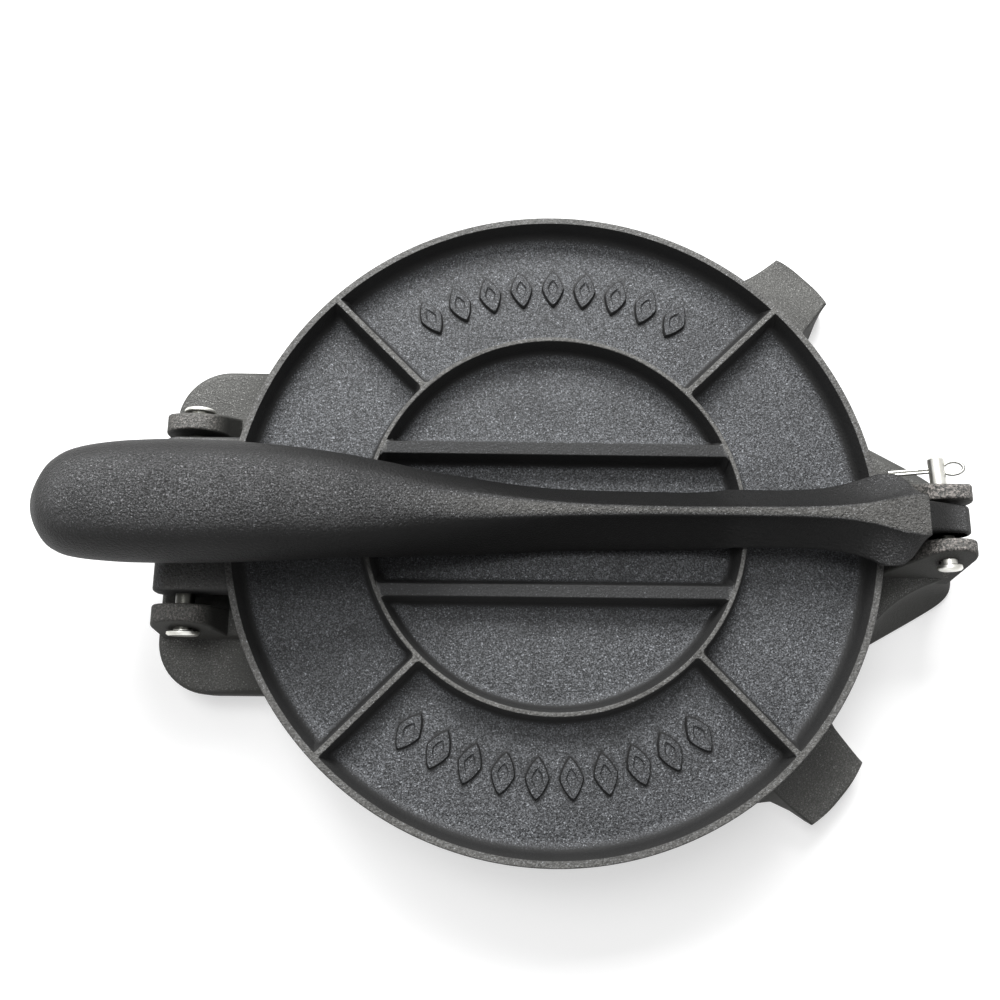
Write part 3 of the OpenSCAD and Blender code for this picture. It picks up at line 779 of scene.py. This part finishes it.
def make_floor():
    """A flat pale square under everything. Like overexposed paper it has a glow of its own, which
    grows with the distance from the press, so that the floor ends in the white behind it."""
    corners = [(x * floor_half, y * floor_half, 0) for x, y in ((-1, -1), (1, -1), (1, 1), (-1, 1))]
    mesh = bpy.data.meshes.new("floor")
    mesh.from_pydata(corners, [], [(0, 1, 2, 3)])
    floor = bpy.data.objects.new("floor", mesh)
    bpy.context.scene.collection.objects.link(floor)
    matt = bpy.data.materials.new("floor")
    matt.use_nodes = True
    tree = matt.node_tree
    shader = tree.nodes["Principled BSDF"]
    shader.inputs["Base Color"].default_value = (paper_tone, paper_tone, paper_tone, 1)
    shader.inputs["Roughness"].default_value = 0.9
    shader.inputs["Specular IOR Level"].default_value = 0.0
    shader.inputs["Emission Color"].default_value = (1, 1, 1, 1)
    glow = tree.nodes.new("ShaderNodeMath")
    glow.operation = "MULTIPLY"
    tree.links.new(seen_or_mirrored(tree), glow.inputs[0])
    away = tree.nodes.new("ShaderNodeVectorMath")
    away.operation = "LENGTH"
    tree.links.new(tree.nodes.new("ShaderNodeTexCoord").outputs["Object"], away.inputs[0])
    whiten = tree.nodes.new("ShaderNodeMapRange")
    for name, value in {"From Min": GROWS[0], "From Max": GROWS[1], "To Min": glow_near}.items():
        whiten.inputs[name].default_value = value
    tree.links.new(away.outputs["Value"], whiten.inputs["Value"])
    tree.links.new(whiten.outputs["Result"], glow.inputs[1])
    tree.links.new(glow.outputs[0], shader.inputs["Emission Strength"])
    floor.data.materials.append(matt)
    return floor


floor = make_floor()
print("floor", [round(v, 2) for v in floor.dimensions])

# %% [markdown]
# Three soft lamps light it: a wide one behind the press, whose light falls
# slantwise over the lever, a smaller one nearly overhead and a very weak one in
# front. Iron is dark, so the eye reads it by its lamps: level skin is lit,
# upright walls stay nearly black, darkened further by a painted shade tone, and
# the front is darker than the back. Suns or points would light it too, but they
# would draw hard shadows.

# %% The lamps and the white room
room_light = 0.06
press_middle = Vector((0, 0, 0.03))


def soft_box(name, place, size, power):
    """A rectangular lamp of a size in metres and a power in watts, turned to face the press."""
    data = bpy.data.lights.new(name, "AREA")
    data.shape = "RECTANGLE"
    data.size, data.size_y = size
    data.energy = power
    lamp = bpy.data.objects.new(name, data)
    lamp.location = place
    lamp.rotation_euler = (press_middle - lamp.location).to_track_quat("-Z", "Y").to_euler()
    bpy.context.scene.collection.objects.link(lamp)
    print("lamp", name, power, "W")

soft_box("back", (-0.12, 0.80, 0.72), (0.8, 0.4), 25.0)
soft_box("overhead", (-0.25, 0.30, 0.98), (0.5, 0.5), 6.5)
soft_box("front", (0.25, -0.85, 0.50), (0.6, 0.3), 0.4)
world = bpy.data.worlds.new("studio")
world.use_nodes = True
sky = world.node_tree.nodes["Background"]
sky.inputs["Color"].default_value = (1, 1, 1, 1)
seen_white = world.node_tree.nodes.new("ShaderNodeMapRange")
seen_white.inputs["To Min"].default_value = room_light
world.node_tree.links.new(seen_or_mirrored(world.node_tree), seen_white.inputs["Value"])
world.node_tree.links.new(seen_white.outputs["Result"], sky.inputs["Strength"])
bpy.context.scene.world = world
bpy.context.scene.view_settings.view_transform = "Standard"

# %% [markdown]
# A surface's colour depends on where it is: level skin is sandy, raised tops and
# the crest of the lever's arm are rubbed lighter, the ears' tops were ground by
# hand, upright walls and the two bars are given painted shade, and the pins'
# shanks are painted dark as shade where they lie in the iron.
# These marks are stored on the mesh as attributes, worked out from each point's
# place and normal. Painting them by hand would work too, but a rule can be read
# and changed, and either way they stay put when the press moves.

# %% Where the iron is rubbed, upright or ground, and where shade is painted
def smooth_step(low, high, value):
    """0 below low, 1 above high, and 3 t^2 - 2 t^3 between."""
    t = np.clip((value - low) / (high - low), 0, 1)
    return t * t * (3 - 2 * t)


def mark(piece, marks):
    """Stores on each point its level, which is how far its normal points up, and the marks' values.
    A mark is a function of the points in millimetres about the plates' centre and of their levels."""
    mesh = piece.data
    count = len(mesh.vertices)
    place, normal = np.empty(3 * count), np.empty(3 * count)
    mesh.vertices.foreach_get("co", place)
    mesh.vertex_normals.foreach_get("vector", normal)
    place = place.reshape(-1, 3) / MM - [plate_x, 0, 0]
    level = np.clip(normal.reshape(-1, 3)[:, 2], 0, 1)
    for name, rule in {"level": lambda place, level: level, **marks}.items():
        value = rule(place, level).astype(np.float32)
        mesh.attributes.new(name, "FLOAT", "POINT").data.foreach_set("value", value)
        print(piece.name, name, "mean", round(float(value.mean()), 3))


def on_bar(place):
    """True on the two bars, which lie beside the lever; their tops are painted darker as its shade."""
    beside = np.abs(np.abs(place[:, 1]) - bar_y) < bar_half + 0.5
    return beside & (np.hypot(place[:, 0], place[:, 1]) < ring_r - 1) & (place[:, 2] > rim_z - 4)


def level_with_bar_shade(place, level):
    """The level, less on the bars: painted shade, so that their tops stay dark as under the lever."""
    return np.where(on_bar(place), 0.74 * level, level)


def top_raised(place, level):
    """1 on the flat tops of the rim, the ring, the ribs and the tongue."""
    # the bars get no rubbed tone, as painted shade from the lever
    return np.where(on_bar(place), 0, smooth_step(rim_z - 1.2, rim_z - 0.15, place[:, 2]) * level ** 2)


def crest_rubbed(place, level):
    """1 along the crest of the lever's arm, which a hand slides over."""
    return smooth_step(0.88, 1.0, level) * smooth_step(-60, 0, place[:, 0])


def ears_ground(place, level):
    """1 on the round ends of the four ears, where a grinder took off the sprue."""
    at_hinge = np.hypot(place[:, 0] - hinge[0], place[:, 2] - hinge[1]) < hinge_ear_r + 0.5
    at_clevis = np.hypot(place[:, 0] - clevis[0], place[:, 2] - clevis[1]) < clevis_ear_r + 0.5
    return smooth_step(0.35, 0.8, level) * np.where(at_clevis, 1, np.where(at_hinge, 0.35, 0))


def nothing(place, level):
    """0 everywhere."""
    return np.zeros(len(level))

mark(top_plate, {"level": level_with_bar_shade, "raised": top_raised, "ground": nothing})
mark(base_casting, {"raised": nothing, "ground": ears_ground})
mark(lever, {"raised": crest_rubbed, "ground": nothing})
# each pin's stretch of shank that is painted dark as shade, as y from and to: the wire has none
SHANK_SHADE = [(hinge_pins[0], -pin_seat, pin_seat - 0.3), (hinge_pins[1], 0.3 - pin_seat, pin_seat),
           (lever_pin, pin_head_y + 2.9, pin_head_y + 22.8), (cotter, 0, 0)]
for pin, low, high in SHANK_SHADE:
    mark(pin, {"shank_shade": lambda place, level: ((place[:, 1] > low) & (place[:, 1] < high)).astype(float)})

# %% [markdown]
# A material is a tree of nodes. The few kinds that the finishes below need each
# get a short function, so that a finish reads as a list of what is done to the
# tone, and not as a list of nodes.

# %% Nodes in few words
def link_up(tree, kind, inputs, **settings):
    """A new node with its settings, whose inputs are numbers, colours or other nodes' outputs."""
    node = tree.nodes.new(kind)
    for name, value in settings.items():
        setattr(node, name, value)
    for name, value in inputs.items():
        if isinstance(value, bpy.types.NodeSocket):
            tree.links.new(value, node.inputs[name])
        else:
            node.inputs[name].default_value = value
    return node


def blend_colours(tree, amount, first, second):
    """first where amount is 0 and second where it is 1."""
    mix = link_up(tree, "ShaderNodeMix", {0: amount, 6: first, 7: second}, data_type="RGBA")
    return mix.outputs[2]


def blend_values(tree, amount, first, second):
    """The same with numbers."""
    mix = link_up(tree, "ShaderNodeMix", {0: amount, 2: first, 3: second}, data_type="FLOAT")
    return mix.outputs[0]


def ramp(tree, value, low, high):
    """0 below low and 1 above high."""
    return link_up(tree, "ShaderNodeMapRange", {"Value": value, "From Min": low, "From Max": high},
                   interpolation_type="SMOOTHSTEP").outputs["Result"]


def math_node(tree, operation, first, second):
    """first and second put together by an operation of the Math node."""
    return link_up(tree, "ShaderNodeMath", {0: first, 1: second}, operation=operation).outputs[0]


def attribute(tree, name):
    """A mark that was stored on the mesh."""
    return link_up(tree, "ShaderNodeAttribute", {}, attribute_name=name).outputs["Fac"]


def noise(tree, scale, detail, roughness=0.5):
    """Noise on Object coordinates; scale is in patches to the metre."""
    where = link_up(tree, "ShaderNodeTexCoord", {}).outputs["Object"]
    return link_up(tree, "ShaderNodeTexNoise", {"Vector": where, "Scale": scale, "Detail": detail,
                                                "Roughness": roughness}).outputs[0]


def bumpy(tree, shader, height, depth, strength):
    """Raises the surface's shading by a height from 0 to 1 times a depth in metres."""
    bump = link_up(tree, "ShaderNodeBump", {"Height": height, "Distance": depth, "Strength": strength})
    tree.links.new(bump.outputs["Normal"], shader.inputs["Normal"])

# %% [markdown]
# Cast iron's skin is the print of the sand that it was poured into. Four noises
# on Object coordinates make it: sand mottles the tone between dark and light,
# sand and grain together pick out the pale specks, which are partly pale grains
# and partly painted glints that fade on upright walls, wrinkles and grain raise
# the skin, and broad patches darken it where oil has soaked in. A photograph could
# be wrapped round it, but noise has no seams and needs no unwrapping.

# %% Cast iron
black = (0, 0, 0, 1)
filed_tone = (0.26, 0.24, 0.225, 1)
rubbed_tone = (0.125, 0.123, 0.117, 1)
rubbed_dark = (0.0563, 0.0554, 0.0527, 1)


def cast_iron(name, dark, light, wall, leather, slope, gloss, shine):
    """Iron whose level skin is mottled between dark and light, and whose upright walls are painted
    in the darker tone wall as shade.
    leather is the height of the skin's wrinkles in metres, slope the two values of level between
    which a wall becomes skin, gloss the skin's roughness and shine how much it mirrors."""
    iron = bpy.data.materials.new(name)
    iron.use_nodes = True
    tree = iron.node_tree
    shader = tree.nodes["Principled BSDF"]
    level, raised, ground = (attribute(tree, n) for n in ("level", "raised", "ground"))
    # a noise runs from about 0.3 to 0.7, so a ramp between two such values picks out its peaks
    patches = noise(tree, 60, 4)
    wrinkles = noise(tree, 1350, 3, 0.6)
    grain = noise(tree, 1250, 4, 0.7)
    sand = noise(tree, 2200, 2)
    # flat is 1 on level skin and 0 on upright walls: it splits the lit tones from painted shade, and sets
    # roughness and bump too
    flat = ramp(tree, level, *slope)
    mottle = math_node(tree, "MULTIPLY", ramp(tree, sand, 0.37, 0.65), blend_values(tree, flat, 0.25, 1.0))
    tone = blend_colours(tree, mottle, dark, light)
    # painted shade: upright walls take the dark tone wall in place of the lit skin's tone
    tone = blend_colours(tree, flat, wall, tone)
    rubbed = blend_colours(tree, ramp(tree, grain, 0.36, 0.64), rubbed_dark, rubbed_tone)
    tone = blend_colours(tree, raised, tone, rubbed)
    oiled = blend_colours(tree, 0.30, tone, black)
    tone = blend_colours(tree, ramp(tree, patches, 0.40, 0.75), tone, oiled)
    # pale specks: partly the sand's pale grains, partly painted glints, so they nearly vanish on upright
    # walls
    flecks = math_node(tree, "MULTIPLY", ramp(tree, sand, 0.57, 0.69), ramp(tree, grain, 0.48, 0.60))
    flecks = math_node(tree, "MULTIPLY", flecks, blend_values(tree, flat, 0.03, 0.9))
    tone = blend_colours(tree, flecks, tone, [3.2 * c for c in light[:3]] + [1])
    filed = math_node(tree, "MULTIPLY", ground, ramp(tree, grain, 0.44, 0.60))
    tone = blend_colours(tree, filed, tone, filed_tone)
    tree.links.new(tone, shader.inputs["Base Color"])
    dull = blend_values(tree, raised, blend_values(tree, flat, gloss + 0.18, gloss), 0.46)
    dull = math_node(tree, "ADD", dull, math_node(tree, "MULTIPLY", wrinkles, 0.08))
    tree.links.new(dull, shader.inputs["Roughness"])
    shader.inputs["Specular IOR Level"].default_value = shine
    height = math_node(tree, "ADD", math_node(tree, "MULTIPLY", grain, 0.5), wrinkles)
    depth = blend_values(tree, ground, blend_values(tree, flat, 0.35 * leather, leather), 0.0009)
    bumpy(tree, shader, height, depth, 1.0)
    print("iron", name, "leather", leather, "gloss", gloss, "shine", shine)
    return iron

# %% [markdown]
# Zinc plate is metal, so its colour is the colour of what it mirrors. It is a
# little cloudy and finely scratched, and its shank is painted dark as shade
# where it lies in the iron. A plain grey metal would do from afar, but bright
# pins draw the eye.

# %% Zinc plate
# painted shade on the pins' shanks, where they lie in the dark gaps of the iron
shank_shade_tone = (0.05, 0.05, 0.045, 1)


def zinc(name, bright, cloudy):
    """Zinc plate with the faint cloudiness and fine scratches of a handled pin."""
    plate = bpy.data.materials.new(name)
    plate.use_nodes = True
    tree = plate.node_tree
    shader = tree.nodes["Principled BSDF"]
    cloud = noise(tree, 350, 4)
    plating = blend_colours(tree, ramp(tree, cloud, 0.35, 0.7), bright, cloudy)
    # the shank takes the painted shade tone
    plating = blend_colours(tree, attribute(tree, "shank_shade"), plating, shank_shade_tone)
    tree.links.new(plating, shader.inputs["Base Color"])
    shader.inputs["Metallic"].default_value = 1.0
    tree.links.new(blend_values(tree, cloud, 0.24, 0.46), shader.inputs["Roughness"])
    bumpy(tree, shader, noise(tree, 3000, 3), 0.00002, 0.5)
    print("zinc", name)
    return plate

# %% [markdown]
# The three castings were poured alike and still differ in tone, and part of the
# difference is painted light. The top plate's level skin is a little blue, partly
# a painted reflection of the light it faces; the base is paler and warmer, partly
# painted light that lifts its front feet and flange; and the lever, which is held
# in the hand, has the smoothest skin between the deepest wrinkles, with its upright
# sides and underside nearly black as painted shade. One function makes all three,
# so what they share is written once.

# %% The finishes of this press
# the plate's slight blue is partly a painted reflection of the light on its level skin
plate_iron = cast_iron(
    "cast_iron_plate", dark=(0.012, 0.013, 0.014, 1), light=(0.098, 0.102, 0.109, 1),
    wall=(0.010, 0.010, 0.010, 1), leather=0.00050, slope=(0.62, 0.985), gloss=0.48, shine=0.33)
# the base's paler tones are partly painted light, lifting its front feet and flange
base_iron = cast_iron(
    "cast_iron_base", dark=(0.047, 0.047, 0.044, 1), light=(0.106, 0.106, 0.101, 1),
    wall=(0.032, 0.032, 0.029, 1), leather=0.00042, slope=(0.60, 0.97), gloss=0.52, shine=0.33)
# the lever's nearly black wall tone is painted shade on its sides and underside
lever_iron = cast_iron(
    "cast_iron_lever", dark=(0.016, 0.016, 0.016, 1), light=(0.098, 0.099, 0.102, 1),
    wall=(0.001, 0.001, 0.001, 1), leather=0.0011, slope=(0.66, 1.0), gloss=0.34, shine=0.24)
bright_zinc = zinc("zinc_plate", (0.78, 0.78, 0.74, 1), (0.60, 0.59, 0.54, 1))
dull_zinc = zinc("zinc_wire", (0.42, 0.42, 0.40, 1), (0.30, 0.30, 0.28, 1))

# %% [markdown]
# Every piece is shaded smooth, with its real edges kept sharp, and its normals
# lean on its large faces, so that flat places look flat. Then it is told which
# body it rides on and which finish it has, and the frame's solid that it
# replaces is hidden.

# %% Smooth shading, finishes and bodies
def finish_piece(piece, material, body, slot, *nodes):
    """Smooth shading with sharp edges kept, a material, and the body that the piece rides on."""
    mesh = piece.data
    mesh.materials.clear()
    mesh.materials.append(material)
    mesh.polygons.foreach_set("use_smooth", np.ones(len(mesh.polygons), bool))
    mesh.set_sharp_from_angle(angle=math.radians(38))
    even = piece.modifiers.new("even_shading", "WEIGHTED_NORMAL")
    even.keep_sharp = True
    even.weight = 100
    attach(piece, body)
    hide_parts(*nodes)
    return piece

finish_piece(base_casting, base_iron, "base", "cast_iron", "base_casting")
finish_piece(top_plate, plate_iron, "top_plate", "cast_iron", "top_plate")
finish_piece(lever, lever_iron, "lever", "cast_iron", "lever")
finish_piece(hinge_pins[0], bright_zinc, "base", "zinc_steel", "hinge_pin_back")
finish_piece(hinge_pins[1], bright_zinc, "base", "zinc_steel", "hinge_pin_front")
finish_piece(lever_pin, bright_zinc, "base", "zinc_steel", "lever_pin")
finish_piece(cotter, dull_zinc, "base", "zinc_steel", "cotter_pin")
